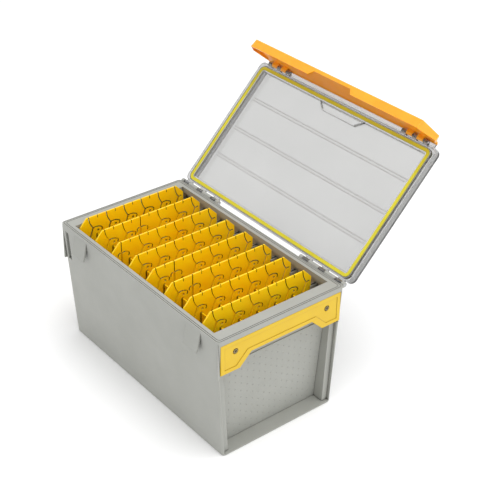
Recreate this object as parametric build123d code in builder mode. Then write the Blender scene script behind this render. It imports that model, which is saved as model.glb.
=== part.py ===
from build123d import *
from math import cos, radians, sin
import os

# Tackle storage box: a drafted tub with screwed-on end grips, a clear hinged lid with a seal,
# a full-length latch and eight lift-out lure racks.
#
# Frame: millimetres, origin at the centre of the underside, X along the box, Y from the latch (front)
# to the hinge (back), Z up. The lid stands open and the latch hangs free, as when the box is in use.

# --- tub ---
LENGTH = 370.0
DEPTH = 209.0
HEIGHT = 191.0
DRAFT_X = 4.0
DRAFT_Y = 10.5
CORNER_R = 5.0
WALL = 2.8
FLOOR = 3.0
RIM_DROP = 9.0
MOUTH_X = 163.4
MOUTH_Y = 94.0
FOOT_FILLET = 2.0
GROOVE_INSETS = (1.6, 4.4)
GROOVE_WIDTH = 0.9
GROOVE_DEPTH = 0.6
OVERCUT = 1.0
EMBED = 1.0

# --- tub ends ---
END_DRAFT = 9.0
LEDGE_X = 176.0
LEDGE_WIDTH = 12.0
RECESS_Y = 77.0
RECESS_BOTTOM = 3.0
RECESS_TOP = 177.0
SKIRT_TOP = 133.0
SKIRT_X = 181.0
END_CUT = 30.0
EAR_X = 181.5
EAR_REACH = 3.0
EAR_TOP = 188.0
POCKET_X = (-175.4, -167.5)
POCKET_Z = (135.0, 180.0)
POCKET_FACE_Y = -94.0

# --- end grips ---
GRIP_FACE_X = 184.6
GRIP_HALF_Y = 99.7
GRIP_TOP = 184.0
GRIP_FOOT = 138.0
GRIP_BROW = 156.0
GRIP_BROW_Y = 50.5
GRIP_FOOT_Y = 69.0
GRIP_SKIN = 2.6
GRIP_RIM = 2.2
GRIP_GAP = 0.5
GRIP_FILLET = 1.0
SCREW_Y = 76.0
SCREW_Z = 167.0
SCREW_R = 1.6
SCREW_HOLE_R = 1.75
SCREW_BITE = 11.0
BOSS_R = 7.0
HEAD_R = 3.2
HEAD_H = 2.0
HEAD_RECESS_R = 4.2
HEAD_RECESS = 1.6
HEAD_BOSS_WALL = 1.6
CROSS_DEPTH = 1.0
CROSS_WIDTH = 0.9
CROSS_LENGTH = 4.0
PANEL_BORDER = 6.0
PANEL_SUNK = 0.7

# --- lid, measured shut ---
AXIS_Y = 108.0
AXIS_Z = 189.5
LID_OPEN = 134.4
LID_HALF_X = 183.5
LID_BACK_Y = 103.0
LID_FRONT_Y = -110.0
LID_UNDER = 192.0
LID_TOP = 204.2
LID_SKIN = 2.2
LID_WALL = 1.8
LID_CORNER = 9.0
SEAL_X = 174.7
SEAL_BACK_Y = 97.0
SEAL_FRONT_Y = -101.3
SEAL_WIDTH = 4.6
SEAL_UNDER = 191.3
SEAL_TOP = 195.0
SEAL_CORNER = 8.0
CHANNEL_GAP = 0.3
RIB_WALL = 1.6
LIP_REACH = 6.5
LIP_HALF = 170.0
PANEL_RIBS = (162.0, 110.6, 62.5)
PANEL_RIB_GAP = 4.0
PANEL_RIB_HALF = 164.0
PANEL_RIB_T = 0.8
PANEL_RIB_H = 1.2
PAD_FRAME_FRONT = (48.0, -98.0)
PAD_FRAME_BACK = (34.0, -86.5)
PAD_FRAME_T = 1.4
PAD_FRAME_H = 4.0
ARM_UNDER = 191.7
ARM_TOP = 195.0

# --- hinge stations, one near each end of the back edge ---
BARREL_R = 3.4
PIN_R = 1.5
PIN_BORE_R = 1.55
BORE_GAP = 0.4
KNUCKLE_CLEARANCE = 0.6
CASE_KNUCKLES = ((92.0, 98.0), (111.0, 131.0), (144.0, 164.0), (177.0, 182.0))

# --- latch, measured shut ---
LATCH_AXIS_Y = -111.2
LATCH_AXIS_Z = 190.5
LATCH_REST = 10.0
LATCH_OUT = 7.3
LATCH_FACE_Y = LATCH_AXIS_Y - LATCH_OUT
LATCH_SKIN = 2.2
LATCH_FILLET = 0.8
LATCH_DEPTH = 13.4
LATCH_DROP = 46.3
LATCH_EAR_DROP = 21.5
LATCH_HALF_FOOT = 172.0
LATCH_HALF_EAR = 190.0
LATCH_HALF_TOP = 176.0
LATCH_DEPTH_TOP = 4.0
SHELL_STOP = 4.2
LATCH_TOP = 194.2
LATCH_BARREL_R = 2.9
LATCH_PIN_R = 1.2
LATCH_BORE_R = 1.25
LID_LATCH_KNUCKLES = ((118.0, 126.0), (138.0, 146.0), (158.0, 166.0))
RELIEF_SIDE = 3.0
RELIEF_BACK_Y = -105.8
KNUCKLE_ROOT = 3.2
FUSE = 0.5
NOTCH_HALF = 45.0
NOTCH_HALF_DEEP = 38.0
NOTCH_WEB = 5.7
HOOK_HALF = 12.0
HOOK_TOP = 156.5
HOOK_T = 2.2
HOOK_EDGE_Y = -107.5

# --- catches on the front wall ---
CATCH_X = 133.5
CATCH_WIDTH = 30.0
CATCH_TOP = 187.0
CATCH_TIP = 158.5
CATCH_REACH = 8.5
CATCH_SKIN = 2.2
CATCH_ROOT = 6.6

# --- racks ---
RACKS = 8
RACK_PITCH = 41.8
RACK_CENTRE = -12.0
RACK_T = 2.2
RACK_HALF = 90.0
RACK_TOP = 200.0
RACK_FOOT = 120.0
RACK_CREST = 78.0
RACK_SHOULDER = 187.0
SLOT_PITCH = 30.0
SLOTS = 6
SLIT = 1.5
NECK = 19.0
NECK_DRIFT = 6.7
SLOT_WIDTH = 3.0
SLOT_END = 36.0
KEYHOLE_R = 2.4
TICK = 4.5
TICK_WIDTH = 0.9
CURL_HOLE_R = 1.8
CURL_HOLE = (14.8, -5.5)
SINGLE_CURL = ((13.4, 0.6), (21.5, -4.3), (20.1, -7.5))
TWIN_CURLS = (((-3.5, 2.0), (-6.0, -0.8), (-5.5, -3.5)), ((6.0, 2.5), (12.0, -1.5), (11.0, -6.0)))
STUB_END = 3.0
STUB_RISE = 0.6
FIN_REACH = 20.0
FIN_T = 1.6
FIN_TOP = 170.0
FIN_FOOT = 128.0
FIN_OFFSET = 13.0
DOUBLE_CURLS = {1: 2, 2: 0, 4: 1, 5: 1}
GUIDE_T = 1.6
GUIDE_GAP = 0.35
GUIDE_TOP = 172.0
GUIDE_FOOT = 112.0
STOP_GAP = 0.3
GUIDE_FACE = 88.0


def wall_y(z):
    """Outer half depth of the tub at height z."""
    return DEPTH / 2 - DRAFT_Y * (HEIGHT - z) / HEIGHT


def wall_x(z):
    """Outer half length of the tub at height z."""
    return LENGTH / 2 - DRAFT_X * (HEIGHT - z) / HEIGHT


def end_wall(z):
    """Outer face of the end wall, behind the finger recess, at height z."""
    return MOUTH_X + WALL - END_DRAFT * (HEIGHT - z) / HEIGHT


def rack_x(index):
    """Middle plane of one rack."""
    return RACK_CENTRE + (index - (RACKS - 1) / 2) * RACK_PITCH


def block(x0, x1, y0, y1, z0, z1, mode=Mode.ADD):
    """A box given by its limits, added to the part being built."""
    with Locations(((x0 + x1) / 2, (y0 + y1) / 2, (z0 + z1) / 2)):
        Box(abs(x1 - x0), abs(y1 - y0), abs(z1 - z0), mode=mode)


def barrel(x0, x1, y, z, radius, mode=Mode.ADD):
    """A cylinder along X between two stations."""
    with Locations(Location(((x0 + x1) / 2, y, z), (0, 90, 0))):
        Cylinder(radius, abs(x1 - x0), mode=mode)


def wall_rib(x, thickness, side, z0, z1):
    """An upright rib on a long wall of the tub, its root following the wall's draft."""
    with BuildPart() as rib:
        with BuildSketch(Plane.YZ.offset(x)):
            with BuildLine():
                Polyline(
                    (side * GUIDE_FACE, z0),
                    (side * GUIDE_FACE, z1),
                    (side * (wall_y(z1) - EMBED), z1),
                    (side * (wall_y(z0) - EMBED), z0),
                    close=True,
                )
            make_face()
        extrude(amount=thickness)
    return rib.part


def gaps_between(knuckles):
    """The free stretches between neighbouring knuckles, each a little shorter than the gap."""
    return [(a[1] + BORE_GAP, b[0] - BORE_GAP) for a, b in zip(knuckles, knuckles[1:])]


def grip_outline(grow=0.0):
    """Bracket outline of an end grip in its own plane: wide feet and a raised brow."""
    half = [
        (0, GRIP_TOP + grow),
        (GRIP_HALF_Y + grow, GRIP_TOP + grow),
        (GRIP_HALF_Y + grow, GRIP_FOOT - grow),
        (GRIP_FOOT_Y - grow, GRIP_FOOT - grow),
        (GRIP_BROW_Y - grow, GRIP_BROW - grow),
        (0, GRIP_BROW - grow),
    ]
    return half + [(-y, z) for y, z in reversed(half[1:-1])]


LID_KNUCKLES = gaps_between(CASE_KNUCKLES)
LATCH_KNUCKLES = gaps_between(LID_LATCH_KNUCKLES)
GRIPS = []

# ---------------------------------------------------------------- tub
with BuildPart() as case:
    with BuildSketch(Plane.XY):
        RectangleRounded(2 * wall_x(0), 2 * wall_y(0), CORNER_R)
    with BuildSketch(Plane.XY.offset(HEIGHT)):
        RectangleRounded(LENGTH, DEPTH, CORNER_R)
    loft()
    fillet(case.faces().sort_by(Axis.Z)[0].edges(), FOOT_FILLET)
    # cavity: it follows the drafted walls up to the rim, whose mouth is narrower
    for z in (FLOOR, HEIGHT - RIM_DROP):
        with BuildSketch(Plane.XY.offset(z)):
            Rectangle(2 * (end_wall(z) - WALL), 2 * (wall_y(z) - WALL))
    loft(mode=Mode.SUBTRACT)
    block(-MOUTH_X, MOUTH_X, -MOUTH_Y, MOUTH_Y, HEIGHT - RIM_DROP, HEIGHT, Mode.SUBTRACT)
    # fine grooves run round the flat of the rim
    for inset in GROOVE_INSETS:
        with BuildSketch(Plane.XY.offset(HEIGHT)):
            RectangleRounded(LENGTH - 2 * inset, DEPTH - 2 * inset, CORNER_R)
            inner = inset + GROOVE_WIDTH
            RectangleRounded(LENGTH - 2 * inner, DEPTH - 2 * inner, CORNER_R - GROOVE_WIDTH,
                             mode=Mode.SUBTRACT)
        extrude(amount=-GROOVE_DEPTH, mode=Mode.SUBTRACT)
    for side in (-1, 1):
        # ledge that the grip stands on, between the two thin cheeks
        for z in (RECESS_BOTTOM, SKIRT_TOP):
            with BuildSketch(Plane.XY.offset(z)):
                with Locations((side * (LEDGE_X + END_CUT / 2), 0)):
                    Rectangle(END_CUT, 2 * (wall_y(z) - WALL))
        loft(mode=Mode.SUBTRACT)
        block(side * LEDGE_X, side * (LEDGE_X + END_CUT), -GRIP_HALF_Y - GRIP_GAP, GRIP_HALF_Y + GRIP_GAP,
              SKIRT_TOP, GRIP_TOP + GRIP_GAP, Mode.SUBTRACT)
        # finger recess, drafted like the end wall behind it, narrower where the grip covers it
        for z in (RECESS_BOTTOM, SKIRT_TOP):
            with BuildSketch(Plane.XY.offset(z)):
                with Locations((side * (end_wall(z) + END_CUT / 2), 0)):
                    Rectangle(END_CUT, 2 * (wall_y(z) - LEDGE_WIDTH))
        loft(mode=Mode.SUBTRACT)
        for z in (SKIRT_TOP, RECESS_TOP):
            with BuildSketch(Plane.XY.offset(z)):
                with Locations((side * (end_wall(z) + END_CUT / 2), 0)):
                    Rectangle(END_CUT, 2 * RECESS_Y)
        loft(mode=Mode.SUBTRACT)
        # the cheeks step in below the grip
        block(side * SKIRT_X, side * (LENGTH / 2 + OVERCUT), -DEPTH / 2, DEPTH / 2, RECESS_BOTTOM, SKIRT_TOP,
              Mode.SUBTRACT)
        for y in (-SCREW_Y, SCREW_Y):
            # bosses beside the recess take the grip screws
            barrel(side * MOUTH_X, side * LEDGE_X, y, SCREW_Z, BOSS_R)
            barrel(side * (LEDGE_X + OVERCUT), side * (LEDGE_X - SCREW_BITE), y, SCREW_Z, SCREW_HOLE_R,
                   Mode.SUBTRACT)
    # catches: sprung tongues that lean out from the front wall, open behind
    for side in (-1, 1):
        x0 = side * CATCH_X - CATCH_WIDTH / 2
        with BuildSketch(Plane.YZ.offset(x0)):
            with BuildLine():
                Polyline(
                    (-wall_y(CATCH_TOP) + EMBED, CATCH_TOP),
                    (-wall_y(CATCH_TOP), CATCH_TOP),
                    (-wall_y(CATCH_TIP) - CATCH_REACH, CATCH_TIP),
                    (-wall_y(CATCH_TIP) - CATCH_REACH + CATCH_SKIN, CATCH_TIP),
                    (-wall_y(CATCH_TOP) + EMBED, CATCH_TOP - CATCH_ROOT),
                    close=True,
                )
            make_face()
        extrude(amount=CATCH_WIDTH)
        # ears at the front corners stand just outside the ends of the latch hooks
        with BuildSketch(Plane.YZ.offset(min(side * EAR_X, side * wall_x(SKIRT_TOP)))):
            with BuildLine():
                Polyline(
                    (-wall_y(EAR_TOP) + EMBED, EAR_TOP),
                    (-wall_y(SKIRT_TOP) - EAR_REACH, SKIRT_TOP + EAR_REACH),
                    (-wall_y(SKIRT_TOP) - EAR_REACH, SKIRT_TOP),
                    (-wall_y(SKIRT_TOP) + EMBED, SKIRT_TOP),
                    close=True,
                )
            make_face()
        extrude(amount=wall_x(SKIRT_TOP) - EAR_X)
    # moulding pocket beside the left ear
    block(*POCKET_X, -DEPTH / 2 - OVERCUT, POCKET_FACE_Y, *POCKET_Z, Mode.SUBTRACT)
    # paired ribs on both long walls make a guide slot at each rack, with a stop joining their feet
    for index in range(RACKS):
        x = rack_x(index)
        slot_half = RACK_T / 2 + GUIDE_GAP
        for side in (-1, 1):
            for rib_x in (x - slot_half - GUIDE_T, x + slot_half):
                add(wall_rib(rib_x, GUIDE_T, side, GUIDE_FOOT, GUIDE_TOP))
            add(wall_rib(x - slot_half - GUIDE_T, 2 * (slot_half + GUIDE_T), side, GUIDE_FOOT,
                         RACK_FOOT - STOP_GAP))
    # hinge knuckles along the back of the rim
    for side in (-1, 1):
        for x0, x1 in CASE_KNUCKLES:
            barrel(side * x0, side * x1, AXIS_Y, AXIS_Z, BARREL_R)
            block(side * x0, side * x1, wall_y(AXIS_Z) - EMBED, AXIS_Y, AXIS_Z - BARREL_R, AXIS_Z)
        for x0, x1 in LID_KNUCKLES:
            barrel(side * (x0 - BORE_GAP), side * (x1 + BORE_GAP), AXIS_Y, AXIS_Z, BARREL_R + KNUCKLE_CLEARANCE,
                   Mode.SUBTRACT)
        barrel(side * (CASE_KNUCKLES[0][0] - OVERCUT), side * (CASE_KNUCKLES[-1][1] + OVERCUT), AXIS_Y, AXIS_Z,
               PIN_BORE_R, Mode.SUBTRACT)
case.part.label = "case"


# ---------------------------------------------------------------- end grips and their screws
for side, name in ((-1, "left"), (1, "right")):
    face = Plane(origin=(side * GRIP_FACE_X, 0, 0), x_dir=(0, side, 0), z_dir=(side, 0, 0))
    grip_depth = GRIP_FACE_X - LEDGE_X
    with BuildPart() as grip:
        with BuildSketch(face):
            with BuildLine():
                Polyline(*grip_outline(), close=True)
            make_face()
        extrude(amount=-grip_depth)
        fillet(grip.faces().sort_by(Axis.X)[0 if side < 0 else -1].edges(), GRIP_FILLET)
        # hollow back
        with BuildSketch(face.offset(-grip_depth)):
            with BuildLine():
                Polyline(*grip_outline(-GRIP_RIM), close=True)
            make_face()
        extrude(amount=grip_depth - GRIP_SKIN, mode=Mode.SUBTRACT)
        # shallow panel sunk into the face
        with BuildSketch(face):
            with BuildLine():
                Polyline(*grip_outline(-PANEL_BORDER), close=True)
            make_face()
        extrude(amount=-PANEL_SUNK, mode=Mode.SUBTRACT)
        for y in (-SCREW_Y, SCREW_Y):
            barrel(side * LEDGE_X, side * (GRIP_FACE_X - PANEL_SUNK), y, SCREW_Z, HEAD_RECESS_R + HEAD_BOSS_WALL)
            barrel(side * (GRIP_FACE_X - PANEL_SUNK - HEAD_RECESS), side * (GRIP_FACE_X + OVERCUT), y, SCREW_Z,
                   HEAD_RECESS_R, Mode.SUBTRACT)
            barrel(side * (LEDGE_X - OVERCUT), side * GRIP_FACE_X, y, SCREW_Z, SCREW_HOLE_R, Mode.SUBTRACT)
    grip.part.label = f"grip_{name}"
    head_seat = GRIP_FACE_X - PANEL_SUNK - HEAD_RECESS
    with BuildPart() as grip_screws:
        for y in (-SCREW_Y, SCREW_Y):
            barrel(side * head_seat, side * (head_seat + HEAD_H), y, SCREW_Z, HEAD_R)
            barrel(side * (LEDGE_X - SCREW_BITE + 1), side * head_seat, y, SCREW_Z, SCREW_R)
            for turn in (0, 90):
                with Locations(Location((side * (head_seat + HEAD_H), y, SCREW_Z), (turn, 0, 0))):
                    Box(2 * CROSS_DEPTH, CROSS_WIDTH, CROSS_LENGTH, mode=Mode.SUBTRACT)
    grip_screws.part.label = f"grip_screws_{name}"
    GRIPS.append(grip.part)
    GRIPS.append(grip_screws.part)


# ---------------------------------------------------------------- lid, modelled shut
def ring(outer, inner, z0, z1):
    """A rectangular frame between two heights; outer and inner are (half x, back y, front y, radius)."""
    with BuildPart() as frame:
        for (half_x, back, front, radius), mode in ((outer, Mode.ADD), (inner, Mode.SUBTRACT)):
            with BuildSketch(Plane.XY.offset(z0)):
                with Locations((0, (back + front) / 2)):
                    RectangleRounded(2 * half_x, back - front, radius)
            extrude(amount=z1 - z0, mode=mode)
    return frame.part


def shrunk(frame, by):
    """The same frame outline moved inward on every side."""
    half_x, back, front, radius = frame
    return (half_x - by, back - by, front + by, max(radius - by, 1.0))


edge = (LID_HALF_X, LID_BACK_Y, LID_FRONT_Y, LID_CORNER)
seal_out = (SEAL_X + SEAL_WIDTH / 2, SEAL_BACK_Y + SEAL_WIDTH / 2, SEAL_FRONT_Y - SEAL_WIDTH / 2, SEAL_CORNER)
seal_in = shrunk(seal_out, SEAL_WIDTH)
channel_out = shrunk(seal_out, -CHANNEL_GAP)
channel_in = shrunk(seal_in, CHANNEL_GAP)
edge_wall = ring(edge, shrunk(edge, LID_WALL), LID_UNDER, LID_TOP - LID_SKIN)
seal_shelf = ring(shrunk(channel_out, -RIB_WALL), shrunk(channel_in, RIB_WALL), SEAL_TOP,
                  SEAL_TOP + RIB_WALL)
outer_rib = ring(shrunk(channel_out, -RIB_WALL), channel_out, LID_UNDER, SEAL_TOP)
inner_rib = ring(channel_in, shrunk(channel_in, RIB_WALL), LID_UNDER, LID_TOP - LID_SKIN)
seal_shut = ring(seal_out, seal_in, SEAL_UNDER, SEAL_TOP)

with BuildPart() as lid_shut:
    with BuildSketch(Plane.XY.offset(LID_TOP - LID_SKIN)):
        with Locations((0, (LID_BACK_Y + LID_FRONT_Y) / 2)):
            RectangleRounded(2 * LID_HALF_X, LID_BACK_Y - LID_FRONT_Y, LID_CORNER)
    extrude(amount=LID_SKIN)
    add([edge_wall, seal_shelf, outer_rib, inner_rib])
    # lip that covers the curled top of the latch
    block(-LIP_HALF, LIP_HALF, LID_FRONT_Y - LIP_REACH, LID_FRONT_Y + EMBED, LID_TOP - LID_SKIN, LID_TOP)
    # pairs of fine ribs across the inside of the panel
    for s in PANEL_RIBS:
        for step in (-PANEL_RIB_GAP / 2, PANEL_RIB_GAP / 2):
            y = AXIS_Y - s + step
            block(-PANEL_RIB_HALF, PANEL_RIB_HALF, y - PANEL_RIB_T / 2, y + PANEL_RIB_T / 2,
                  LID_TOP - LID_SKIN - PANEL_RIB_H, LID_TOP - LID_SKIN)
    # trapezoid frame for a pad at the latch side of the panel
    with BuildSketch(Plane.XY.offset(LID_TOP - LID_SKIN)):
        with BuildLine():
            half = [PAD_FRAME_BACK, PAD_FRAME_FRONT]
            Polyline(*[(-x, y) for x, y in reversed(half)], *half, close=True)
        make_face()
        offset(amount=-PAD_FRAME_T, mode=Mode.SUBTRACT)
    extrude(amount=-PAD_FRAME_H)
    # room for the latch barrels under the front edge, then the knuckles that carry them
    for side in (-1, 1):
        x0, x1 = LID_LATCH_KNUCKLES[0][0] - RELIEF_SIDE, LID_LATCH_KNUCKLES[-1][1] + RELIEF_SIDE
        block(side * x0, side * x1, LID_FRONT_Y - OVERCUT, RELIEF_BACK_Y, LID_UNDER - OVERCUT, LATCH_TOP,
              Mode.SUBTRACT)
        for x0, x1 in LID_LATCH_KNUCKLES:
            barrel(side * x0, side * x1, LATCH_AXIS_Y, LATCH_AXIS_Z, LATCH_BARREL_R)
            block(side * x0, side * x1, LATCH_AXIS_Y, LID_FRONT_Y + KNUCKLE_ROOT, LATCH_AXIS_Z, LATCH_TOP + FUSE)
            barrel(side * (x0 - OVERCUT), side * (x1 + OVERCUT), LATCH_AXIS_Y, LATCH_AXIS_Z, LATCH_BORE_R,
                   Mode.SUBTRACT)
        for x0, x1 in LID_KNUCKLES:
            barrel(side * x0, side * x1, AXIS_Y, AXIS_Z, BARREL_R)
            block(side * x0, side * x1, LID_BACK_Y - LID_WALL, AXIS_Y + EMBED, ARM_UNDER, ARM_TOP)
            barrel(side * (x0 - OVERCUT), side * (x1 + OVERCUT), AXIS_Y, AXIS_Z, PIN_BORE_R, Mode.SUBTRACT)


# ---------------------------------------------------------------- latch, modelled shut
def latch_outline(shrink=0.0):
    """Front view of the latch in X and Z: ears near the top, foot corners cut back."""
    top = LATCH_AXIS_Z
    ear = LATCH_AXIS_Z - LATCH_EAR_DROP
    foot = LATCH_AXIS_Z - LATCH_DROP + shrink
    half = [
        (0, top),
        (LATCH_HALF_TOP - shrink, top),
        (LATCH_HALF_EAR - shrink, ear),
        (LATCH_HALF_FOOT - shrink / 2, foot),
        (0, foot),
    ]
    return half + [(-x, z) for x, z in reversed(half[1:-1])]


latch_face = Plane(origin=(0, LATCH_FACE_Y, 0), x_dir=(1, 0, 0), z_dir=(0, -1, 0))
with BuildPart() as latch_shut:
    with BuildSketch(latch_face):
        with BuildLine():
            Polyline(*latch_outline(), close=True)
        make_face()
    extrude(amount=-LATCH_DEPTH)
    fillet(latch_shut.faces().sort_by(Axis.Y)[0].edges().sort_by(Axis.Z)[:-1], LATCH_FILLET)
    with BuildSketch(latch_face.offset(-LATCH_SKIN)):
        with BuildLine():
            Polyline(*latch_outline(LATCH_SKIN), close=True)
        make_face()
    extrude(amount=-LATCH_DEPTH, mode=Mode.SUBTRACT)
    # the end walls taper from the foot flange up to the hinge
    with BuildSketch(Plane.YZ.offset(-LATCH_HALF_EAR)):
        with BuildLine():
            Polyline(
                (LATCH_FACE_Y + LATCH_DEPTH, LATCH_AXIS_Z - LATCH_DROP + LATCH_SKIN),
                (LATCH_FACE_Y + LATCH_DEPTH_TOP, LATCH_AXIS_Z),
                (LATCH_FACE_Y + LATCH_DEPTH + OVERCUT, LATCH_AXIS_Z + OVERCUT),
                (LATCH_FACE_Y + LATCH_DEPTH + OVERCUT, LATCH_AXIS_Z - LATCH_DROP + LATCH_SKIN),
                close=True,
            )
        make_face()
    extrude(amount=2 * LATCH_HALF_EAR, mode=Mode.SUBTRACT)
    # above the hinge the skin curls over the barrels, stopping short of the lid edge it swings past
    with BuildSketch(Plane.YZ.offset(-LATCH_HALF_TOP)):
        with Locations((LATCH_AXIS_Y, LATCH_AXIS_Z)):
            Circle(LATCH_OUT)
            Circle(LATCH_OUT - LATCH_SKIN, mode=Mode.SUBTRACT)
            Rectangle(3 * LATCH_OUT, 2 * LATCH_OUT, align=(Align.CENTER, Align.MAX), mode=Mode.SUBTRACT)
        with Locations((LATCH_AXIS_Y - SHELL_STOP, LATCH_AXIS_Z)):
            Rectangle(2 * LATCH_OUT, 3 * LATCH_OUT, align=(Align.MIN, Align.CENTER), mode=Mode.SUBTRACT)
    extrude(amount=2 * LATCH_HALF_TOP)
    # finger notch in the foot flange
    with BuildSketch(Plane.XY.offset(LATCH_AXIS_Z - LATCH_DROP - OVERCUT)):
        with BuildLine():
            Polyline(
                (-NOTCH_HALF, LATCH_FACE_Y + LATCH_DEPTH + OVERCUT),
                (-NOTCH_HALF_DEEP, LATCH_FACE_Y + NOTCH_WEB),
                (NOTCH_HALF_DEEP, LATCH_FACE_Y + NOTCH_WEB),
                (NOTCH_HALF, LATCH_FACE_Y + LATCH_DEPTH + OVERCUT),
                close=True,
            )
        make_face()
    extrude(amount=LATCH_SKIN + 2 * OVERCUT, mode=Mode.SUBTRACT)
    for side in (-1, 1):
        for x0, x1 in LATCH_KNUCKLES:
            barrel(side * x0, side * x1, LATCH_AXIS_Y, LATCH_AXIS_Z, LATCH_BARREL_R)
            block(side * x0, side * x1, LATCH_FACE_Y + LATCH_SKIN - FUSE, LATCH_AXIS_Y,
                  LATCH_AXIS_Z - LATCH_BARREL_R, LATCH_AXIS_Z + FUSE)
            barrel(side * (x0 - OVERCUT), side * (x1 + OVERCUT), LATCH_AXIS_Y, LATCH_AXIS_Z, LATCH_BORE_R,
                   Mode.SUBTRACT)
        # hook shelf that slips under the catch tongue
        block(side * CATCH_X - HOOK_HALF, side * CATCH_X + HOOK_HALF, LATCH_FACE_Y + LATCH_SKIN - FUSE,
              HOOK_EDGE_Y, HOOK_TOP - HOOK_T, HOOK_TOP)


# ---------------------------------------------------------------- opening the lid and latch
def swung(shape, y, z, angle):
    """The shape turned about an axis along X through (y, z)."""
    return shape.rotate(Axis((0, y, z), (1, 0, 0)), angle)


lid = swung(lid_shut.part, AXIS_Y, AXIS_Z, -LID_OPEN)
seal = swung(seal_shut, AXIS_Y, AXIS_Z, -LID_OPEN)
latch = swung(latch_shut.part, LATCH_AXIS_Y, LATCH_AXIS_Z, -LATCH_REST)
latch = swung(latch, AXIS_Y, AXIS_Z, -LID_OPEN)
lid.label = "lid"
seal.label = "lid_seal"
latch.label = "latch"

# where the latch axis stands with the lid open
arm = radians(-LID_OPEN)
reach_y = LATCH_AXIS_Y - AXIS_Y
reach_z = LATCH_AXIS_Z - AXIS_Z
latch_y = AXIS_Y + reach_y * cos(arm) - reach_z * sin(arm)
latch_z = AXIS_Z + reach_y * sin(arm) + reach_z * cos(arm)

PINS = []
for side, name in ((-1, "left"), (1, "right")):
    with BuildPart() as lid_pin:
        barrel(side * CASE_KNUCKLES[0][0], side * CASE_KNUCKLES[-1][1], AXIS_Y, AXIS_Z, PIN_R)
    lid_pin.part.label = f"lid_pin_{name}"
    with BuildPart() as latch_pin:
        barrel(side * LID_LATCH_KNUCKLES[0][0], side * LID_LATCH_KNUCKLES[-1][1], latch_y, latch_z, LATCH_PIN_R)
    latch_pin.part.label = f"latch_pin_{name}"
    PINS.append(lid_pin.part)
    PINS.append(latch_pin.part)


# ---------------------------------------------------------------- racks
def lure_slot(curls, drift, hole=None):
    """One lure slot hanging from the origin: a thin neck, a wider slot and its curled slits."""
    with BuildSketch() as slot:
        with BuildLine():
            Spline((0, OVERCUT), (drift * 0.15, -NECK * 0.4), (drift, -NECK))
        trace(line_width=SLIT)
        with BuildLine():
            Line((drift, -NECK), (0, -SLOT_END))
        trace(line_width=SLOT_WIDTH)
        with Locations((0, -SLOT_END)):
            Circle(KEYHOLE_R)
        for curl in curls:
            points = [(drift, -NECK)] + [(u, v - NECK) for u, v in curl]
            with BuildLine():
                if len(points) == 2:
                    Line(*points)
                else:
                    Spline(*points)
            trace(line_width=SLIT)
        if hole:
            with Locations((hole[0], hole[1] - NECK)):
                Circle(CURL_HOLE_R)
    return slot.sketch


STUB_REACH = RACK_HALF - STUB_END - (SLOTS - 1) / 2 * SLOT_PITCH
SINGLE = lure_slot([SINGLE_CURL], NECK_DRIFT, CURL_HOLE)
SHORT = lure_slot([[(STUB_REACH, STUB_RISE)]], NECK_DRIFT)
DOUBLE = lure_slot(TWIN_CURLS, 0.0)

RACK_PARTS = []
for index in range(RACKS):
    x = rack_x(index)
    with BuildPart() as rack:
        with BuildSketch(Plane.YZ.offset(x - RACK_T / 2)):
            with BuildLine():
                Polyline(
                    (-RACK_CREST, RACK_TOP),
                    (RACK_CREST, RACK_TOP),
                    (RACK_HALF, RACK_SHOULDER),
                    (RACK_HALF, RACK_FOOT),
                    (-RACK_HALF, RACK_FOOT),
                    (-RACK_HALF, RACK_SHOULDER),
                    close=True,
                )
            make_face()
            for position in range(SLOTS):
                y = (position - (SLOTS - 1) / 2) * SLOT_PITCH
                shape = SHORT if position == SLOTS - 1 else SINGLE
                if position == DOUBLE_CURLS.get(index):
                    shape = DOUBLE
                add(shape.moved(Location((y, RACK_TOP))), mode=Mode.SUBTRACT)
                with Locations((y + SLOT_PITCH / 2, RACK_TOP)):
                    Rectangle(TICK_WIDTH, 2 * TICK, mode=Mode.SUBTRACT)
        extrude(amount=RACK_T)
        # fins that keep neighbouring lures apart
        for position in range(SLOTS - 1):
            y = (position - (SLOTS - 1) / 2) * SLOT_PITCH + FIN_OFFSET
            block(x, x + RACK_T / 2 + FIN_REACH, y - FIN_T / 2, y + FIN_T / 2, FIN_FOOT, FIN_TOP)
    rack.part.label = f"rack_{index + 1}"
    RACK_PARTS.append(rack.part)

os.makedirs("parts", exist_ok=True)
for piece in [case.part, *GRIPS, lid, seal, latch, *PINS, *RACK_PARTS]:
    export_step(piece, f"parts/{piece.label}.step")
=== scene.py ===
import math

import bpy
import numpy as np
from mathutils import Matrix, Vector


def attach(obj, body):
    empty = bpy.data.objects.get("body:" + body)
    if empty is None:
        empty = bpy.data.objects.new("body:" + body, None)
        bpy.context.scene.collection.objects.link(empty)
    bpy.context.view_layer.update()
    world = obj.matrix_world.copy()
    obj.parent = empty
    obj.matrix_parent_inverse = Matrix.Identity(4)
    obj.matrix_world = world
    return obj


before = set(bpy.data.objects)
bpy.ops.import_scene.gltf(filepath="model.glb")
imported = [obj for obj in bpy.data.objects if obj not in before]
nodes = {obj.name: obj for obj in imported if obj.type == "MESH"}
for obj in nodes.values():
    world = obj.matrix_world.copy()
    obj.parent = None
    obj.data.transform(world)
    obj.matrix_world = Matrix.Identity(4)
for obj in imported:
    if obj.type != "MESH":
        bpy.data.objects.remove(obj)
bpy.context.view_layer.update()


# ---------------------------------------------------------------- tub
# The tub is one injection moulding in warm grey polypropylene. The mould is spark-eroded, so the
# outside has a fine even grain, a soft sheen and very slightly cloudy colour where the melt flowed.

# moulded edges are broken by about this radius, which catches a thin line of light
EDGE_RADIUS = 0.0006


def linear(code):
    """An sRGB hex colour as linear red, green, blue and alpha: ((c + 0.055) / 1.055) ** 2.4."""
    channels = [int(code[i:i + 2], 16) / 255 for i in (0, 2, 4)]
    return [c / 12.92 if c <= 0.04045 else ((c + 0.055) / 1.055) ** 2.4 for c in channels] + [1.0]


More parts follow.
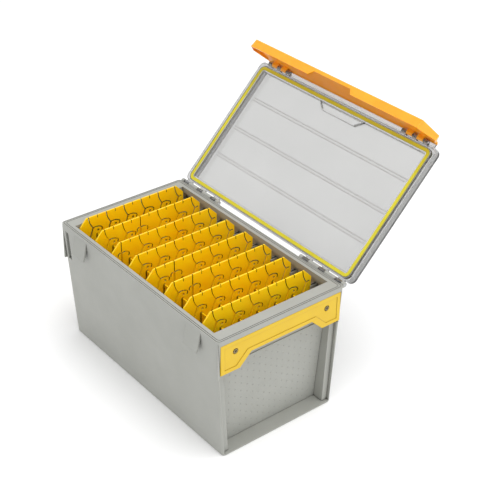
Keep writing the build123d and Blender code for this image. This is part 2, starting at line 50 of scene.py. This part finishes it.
def add_node(tree, kind, settings=None, links=None):
    """Adds one node; settings name its properties or input sockets, links name input sockets."""
    made = tree.nodes.new(kind)
    for name, value in (settings or {}).items():
        if isinstance(name, str) and hasattr(made, name):
            setattr(made, name, value)
        else:
            made.inputs[name].default_value = value
    for name, source in (links or {}).items():
        tree.links.new(source, made.inputs[name])
    return made


def blank_material(name):
    """A new node material with its Principled shader, its tree and the Object coordinates."""
    material = bpy.data.materials.new(name)
    material.use_nodes = True
    tree = material.node_tree
    return material, tree, tree.nodes["Principled BSDF"], tree.nodes.new("ShaderNodeTexCoord").outputs["Object"]


def cloudy_colour(tree, place, light, deep, size):
    """A colour that drifts between two shades in soft clouds; size is a cloud's width in metres."""
    clouds = add_node(tree, "ShaderNodeTexNoise", {"Scale": 1 / size, "Detail": 3.0, "Roughness": 0.55},
                      {"Vector": place})
    spread = add_node(tree, "ShaderNodeMapRange", {"From Min": 0.3, "From Max": 0.7},
                      {"Value": clouds.outputs["Fac"]})
    mixed = add_node(tree, "ShaderNodeMix", {"data_type": "RGBA", 6: linear(deep), 7: linear(light)},
                     {0: spread.outputs["Result"]})
    return mixed.outputs[2]


def grainy_surface(tree, shader, place, grain, depth, rough_low, rough_high):
    """Gives the shader a mould grain: bumps of one size and depth in metres, and uneven roughness."""
    pits = add_node(tree, "ShaderNodeTexNoise", {"Scale": 1 / grain, "Detail": 2.0}, {"Vector": place})
    rounded = add_node(tree, "ShaderNodeBevel", {"samples": 4, "Radius": EDGE_RADIUS})
    bump = add_node(tree, "ShaderNodeBump", {"Strength": 1.0, "Distance": depth},
                    {"Height": pits.outputs["Fac"], "Normal": rounded.outputs["Normal"]})
    sheen = add_node(tree, "ShaderNodeTexNoise", {"Scale": 1 / (grain * 40), "Detail": 4.0}, {"Vector": place})
    rough = add_node(tree, "ShaderNodeMapRange",
                     {"From Min": 0.3, "From Max": 0.7, "To Min": rough_low, "To Max": rough_high},
                     {"Value": sheen.outputs["Fac"]})
    tree.links.new(bump.outputs["Normal"], shader.inputs["Normal"])
    tree.links.new(rough.outputs["Result"], shader.inputs["Roughness"])


def painted_crevice_shade(tree, colour, shade_tone, reach, low, high):
    """Painted shade: the colour turns to the shade tone where a surface is hemmed in within reach, in metres,
    as an ambient occlusion node finds it.
    """
    open_sky = add_node(tree, "ShaderNodeAmbientOcclusion",
                        {"samples": 6, "only_local": True, "Distance": reach})
    unshaded = add_node(tree, "ShaderNodeMapRange", {"From Min": low, "From Max": high},
                     {"Value": open_sky.outputs["AO"]})
    mixed = add_node(tree, "ShaderNodeMix", {"data_type": "RGBA", 6: linear(shade_tone)},
                     {0: unshaded.outputs["Result"], 7: colour})
    return mixed.outputs[2]


def finish_node(name, material):
    """Puts one material on a carried-over part."""
    nodes[name].data.materials.clear()
    nodes[name].data.materials.append(material)


grey_pp, tree, shader, place = blank_material("moulded_grey_polypropylene")
# the fine grain leaves polypropylene satin
PP_IOR = 1.49
shader.inputs["IOR"].default_value = PP_IOR
colour = cloudy_colour(tree, place, "a1a29c", "9a9b95", 0.09)
# painted shade: the grey darkens towards a deep brown-grey in corners, recesses and gaps between parts
colour = painted_crevice_shade(tree, colour, "3c3a34", 0.004, 0.25, 0.85)
tree.links.new(colour, shader.inputs["Base Color"])
# real spark grain is about 0.1 mm; it is drawn at 0.5 mm so that it shows at all
grainy_surface(tree, shader, place, 0.0005, 0.00002, 0.42, 0.52)
finish_node("case", grey_pp)


# ---------------------------------------------------------------- dimpled end panels
# The floor of each finger recess carries staggered rows of small round dimples, moulded in with the
# tub. Each panel is a thin skin on the recess floor with the dimples pressed into its surface.

PANEL_HALF_Y = 0.0820
PANEL_Z = (0.0032, 0.1325)
PANEL_X = (0.15735, 0.16346)
PANEL_TAPER = 0.0071
PANEL_SKIN = 0.0010
DIMPLE_COLUMN = 0.010
DIMPLE_ROW = 0.012
DIMPLE_R = 0.0015
DIMPLE_DEPTH = 0.0009
PANEL_COLUMNS = 274
PANEL_ROWS = 216


def closed_sheet(name, front, back):
    """A closed sheet from two equal grids of points, front outward: faces run over front, over back
    the other way round, and along the four rims, so the sheet has no open edge."""
    rows, columns = front.shape[:2]
    count = rows * columns
    index = np.arange(count).reshape(rows, columns)
    quads = np.stack([index[:-1, :-1], index[:-1, 1:], index[1:, 1:], index[1:, :-1]], -1).reshape(-1, 4)
    rim = np.concatenate([index[0, :-1], index[:-1, -1], index[-1, :0:-1], index[:0:-1, 0]])
    following = np.roll(rim, -1)
    walls = np.stack([following, rim, rim + count, following + count], -1)
    faces = np.concatenate([quads, quads[:, ::-1] + count, walls])
    mesh = bpy.data.meshes.new(name)
    mesh.from_pydata(np.concatenate([front.reshape(-1, 3), back.reshape(-1, 3)]), [], faces)
    mesh.validate()
    sheet = bpy.data.objects.new(name, mesh)
    bpy.context.scene.collection.objects.link(sheet)
    return sheet


def dimple_depth(y, z):
    """Depth at each point: a cosine bowl 0.5 (1 + cos(pi r / R)) round the nearest dimple centre,
    where r is the distance to it and every second column is half a row higher."""
    column = np.round(y / DIMPLE_COLUMN)
    shift = (column % 2) * DIMPLE_ROW / 2
    row = np.round((z - shift) / DIMPLE_ROW)
    distance = np.hypot(y - column * DIMPLE_COLUMN, z - shift - row * DIMPLE_ROW)
    bowl = 0.5 * (1 + np.cos(np.pi * np.minimum(distance / DIMPLE_R, 1)))
    return DIMPLE_DEPTH * bowl


for side, name in ((-1, "left"), (1, "right")):
    share, z = np.meshgrid(side * np.linspace(-1, 1, PANEL_COLUMNS), np.linspace(*PANEL_Z, PANEL_ROWS))
    climb = (z - PANEL_Z[0]) / (PANEL_Z[1] - PANEL_Z[0])
    y = share * (PANEL_HALF_Y + PANEL_TAPER * climb)
    wall = PANEL_X[0] + (PANEL_X[1] - PANEL_X[0]) * climb
    front = np.stack([side * (wall + PANEL_SKIN - dimple_depth(y, z)), y, z], -1)
    back = np.stack([side * wall, y, z], -1)
    panel = closed_sheet(f"dimpled_panel_{name}", front, back)
    panel.data.materials.append(grey_pp)
    panel.data.shade_smooth()
    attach(panel, "tub")


# ---------------------------------------------------------------- end grips
# Each end has a yellow polypropylene grip, a hollow moulding with a shallow sunk panel, held by two
# cross-head screws. The stainless heads sit in counterbores and have gone a little dull and brown.

grip_pp, tree, shader, place = blank_material("moulded_yellow_polypropylene_grip")
shader.inputs["IOR"].default_value = PP_IOR
colour = cloudy_colour(tree, place, "d8b41c", "d2ac18", 0.05)
# painted shade: the yellow turns a dark amber in the grip's hollows and corners
colour = painted_crevice_shade(tree, colour, "8a6208", 0.0025, 0.3, 0.9)
tree.links.new(colour, shader.inputs["Base Color"])
grainy_surface(tree, shader, place, 0.0006, 0.00002, 0.38, 0.48)

screw_steel, tree, shader, place = blank_material("dulled_stainless_screw")
shader.inputs["Metallic"].default_value = 1.0
colour = cloudy_colour(tree, place, "a89b78", "6f6248", 0.0015)
# painted shade: the steel goes near black in the cross recesses and other hollows
colour = painted_crevice_shade(tree, colour, "17120c", 0.0016, 0.35, 0.9)
tree.links.new(colour, shader.inputs["Base Color"])
grainy_surface(tree, shader, place, 0.0003, 0.00002, 0.3, 0.5)

for name in ("left", "right"):
    finish_node(f"grip_{name}", grip_pp)
    finish_node(f"grip_screws_{name}", screw_steel)


# ---------------------------------------------------------------- lid, seal and hinge pins
# The lid is clear polycarbonate moulded in a polished tool, so it is glossy and a trace grey. A soft
# yellow-green seal sits in its channel, and drawn stainless pins join it to the tub and the latch.

clear_pc, tree, shader, place = blank_material("polished_clear_polycarbonate")
shader.inputs["IOR"].default_value = 1.585
shader.inputs["Transmission Weight"].default_value = 1.0
colour = cloudy_colour(tree, place, "c5c5c4", "c0c0bf", 0.12)
# painted shade darkens the colour beside the ribs, where less light reaches; the reach is kept below the
# panel's 2.2 mm thickness
colour = painted_crevice_shade(tree, colour, "6f6a60", 0.0018, 0.35, 0.9)
tree.links.new(colour, shader.inputs["Base Color"])
grainy_surface(tree, shader, place, 0.006, 0.000004, 0.06, 0.1)
finish_node("lid", clear_pc)

seal_tpe, tree, shader, place = blank_material("soft_yellow_green_elastomer")
shader.inputs["IOR"].default_value = 1.5
tree.links.new(cloudy_colour(tree, place, "d2c622", "c8bb16", 0.03), shader.inputs["Base Color"])
grainy_surface(tree, shader, place, 0.0004, 0.00003, 0.5, 0.65)
finish_node("lid_seal", seal_tpe)

pin_steel, tree, shader, place = blank_material("drawn_stainless_pin")
shader.inputs["Metallic"].default_value = 1.0
# drawing leaves fine lines along the pin, so the pattern is stretched along X
along = add_node(tree, "ShaderNodeMapping", {"Scale": (0.05, 1.0, 1.0)}, {"Vector": place})
tree.links.new(cloudy_colour(tree, along.outputs["Vector"], "c4c4c6", "a9a9ac", 0.0006),
               shader.inputs["Base Color"])
grainy_surface(tree, shader, along.outputs["Vector"], 0.0002, 0.00001, 0.22, 0.34)
for name in ("lid_pin_left", "lid_pin_right", "latch_pin_left", "latch_pin_right"):
    finish_node(name, pin_steel)


# ---------------------------------------------------------------- latch
# The latch is a long orange-yellow moulding that runs the whole width of the lid. Its skin is thin
# enough to glow a little, and painted shade turns its hollows a deeper orange than the outer faces.

latch_pp, tree, shader, place = blank_material("moulded_amber_polypropylene_latch")
shader.inputs["IOR"].default_value = PP_IOR
shader.inputs["Subsurface Weight"].default_value = 0.4
shader.inputs["Subsurface Radius"].default_value = (0.006, 0.002, 0.0003)
shader.inputs["Subsurface Scale"].default_value = 1.0
colour = cloudy_colour(tree, place, "f9a820", "f39c12", 0.06)
# painted shade: a deeper orange in the latch's hollows and inner corners
colour = painted_crevice_shade(tree, colour, "d47800", 0.004, 0.2, 0.7)
tree.links.new(colour, shader.inputs["Base Color"])
grainy_surface(tree, shader, place, 0.0006, 0.000015, 0.3, 0.4)
finish_node("latch", latch_pp)


# ---------------------------------------------------------------- lure racks
# Eight racks are moulded in bright yellow polyethylene and drop into guides in the tub. The thin
# slots that hold the hooks are cut right through; their walls are painted dark brown as shade.

rack_pe, tree, shader, place = blank_material("moulded_bright_yellow_polyethylene")
shader.inputs["IOR"].default_value = 1.51
shader.inputs["Subsurface Weight"].default_value = 0.25
shader.inputs["Subsurface Radius"].default_value = (0.004, 0.002, 0.0005)
shader.inputs["Subsurface Scale"].default_value = 1.0
colour = cloudy_colour(tree, place, "ffd206", "ffca00", 0.04)
# painted shade: the slot walls and other tight crevices turn dark brown
colour = painted_crevice_shade(tree, colour, "240c00", 0.0026, 0.6, 0.96)
tree.links.new(colour, shader.inputs["Base Color"])
grainy_surface(tree, shader, place, 0.0008, 0.00002, 0.34, 0.44)
for name in sorted(n for n in nodes if n.startswith("rack_")):
    finish_node(name, rack_pe)


# ---------------------------------------------------------------- floor, light and camera
# A wide plain white floor in a white room, one broad soft lamp overhead, a weaker one low on the right
# and the camera.

FLOOR_HALF = 12.0
FLOOR_GAP = 0.0001
FLOOR_THICKNESS = 0.01
FLOOR_GRID = 9
ROOM_BRIGHTNESS = 0.92
floor_paint, tree, shader, place = blank_material("matt_white_floor_paint")
shader.inputs["Roughness"].default_value = 0.9
shader.inputs["Specular IOR Level"].default_value = 0.1
tree.links.new(cloudy_colour(tree, place, "fbfbfb", "f8f8f8", 0.8), shader.inputs["Base Color"])
stations = np.linspace(-FLOOR_HALF, FLOOR_HALF, FLOOR_GRID)
x, y = np.meshgrid(stations, stations)
top = np.stack([x, y, np.full_like(x, -FLOOR_GAP)], -1)
floor = closed_sheet("studio_floor", top, top - np.array([0, 0, FLOOR_THICKNESS]))
floor.data.materials.append(floor_paint)

world = bpy.data.worlds.new("white_room")
bpy.context.scene.world = world
world.use_nodes = True
world.node_tree.nodes["Background"].inputs["Color"].default_value = linear("ffffff")
world.node_tree.nodes["Background"].inputs["Strength"].default_value = ROOM_BRIGHTNESS


def soft_lamp(name, place, target, size, power):
    """A square lamp at place, turned so that its light goes to target."""
    lamp = bpy.data.lights.new(name, "AREA")
    lamp.size = size
    lamp.energy = power
    made = bpy.data.objects.new(name, lamp)
    made.location = place
    made.rotation_mode = "QUATERNION"
    made.rotation_quaternion = (Vector(target) - Vector(place)).to_track_quat("-Z", "Y")
    bpy.context.scene.collection.objects.link(made)


soft_lamp("top_lamp", (0.6, 0.3, 2.4), (0, 0, 0.1), 1.6, 30)
soft_lamp("side_lamp", (2.6, -0.3, 1.2), (0, 0, 0.15), 1.4, 8)

CAMERA_AZIMUTH, CAMERA_ELEVATION, CAMERA_ROLL = (math.radians(a) for a in (51.16, 32.08, 0.56))
CAMERA_PLACE = Vector((1.1268, -0.8138, 1.0664))
CAMERA_LENS = 86.16
back = Vector((math.sin(CAMERA_AZIMUTH) * math.cos(CAMERA_ELEVATION),
               -math.cos(CAMERA_AZIMUTH) * math.cos(CAMERA_ELEVATION), math.sin(CAMERA_ELEVATION)))
level = Vector((math.cos(CAMERA_AZIMUTH), math.sin(CAMERA_AZIMUTH), 0))
rise = back.cross(level)
right = level * math.cos(CAMERA_ROLL) + rise * math.sin(CAMERA_ROLL)
up = rise * math.cos(CAMERA_ROLL) - level * math.sin(CAMERA_ROLL)
camera = bpy.data.objects.new("camera", bpy.data.cameras.new("camera"))
camera.data.lens = CAMERA_LENS
camera.data.clip_start = 0.05
camera.data.clip_end = 60
camera.matrix_world = Matrix.Translation(CAMERA_PLACE) @ Matrix((right, up, back)).transposed().to_4x4()
bpy.context.scene.collection.objects.link(camera)
bpy.context.scene.camera = camera
bpy.context.scene.view_settings.view_transform = "Standard"
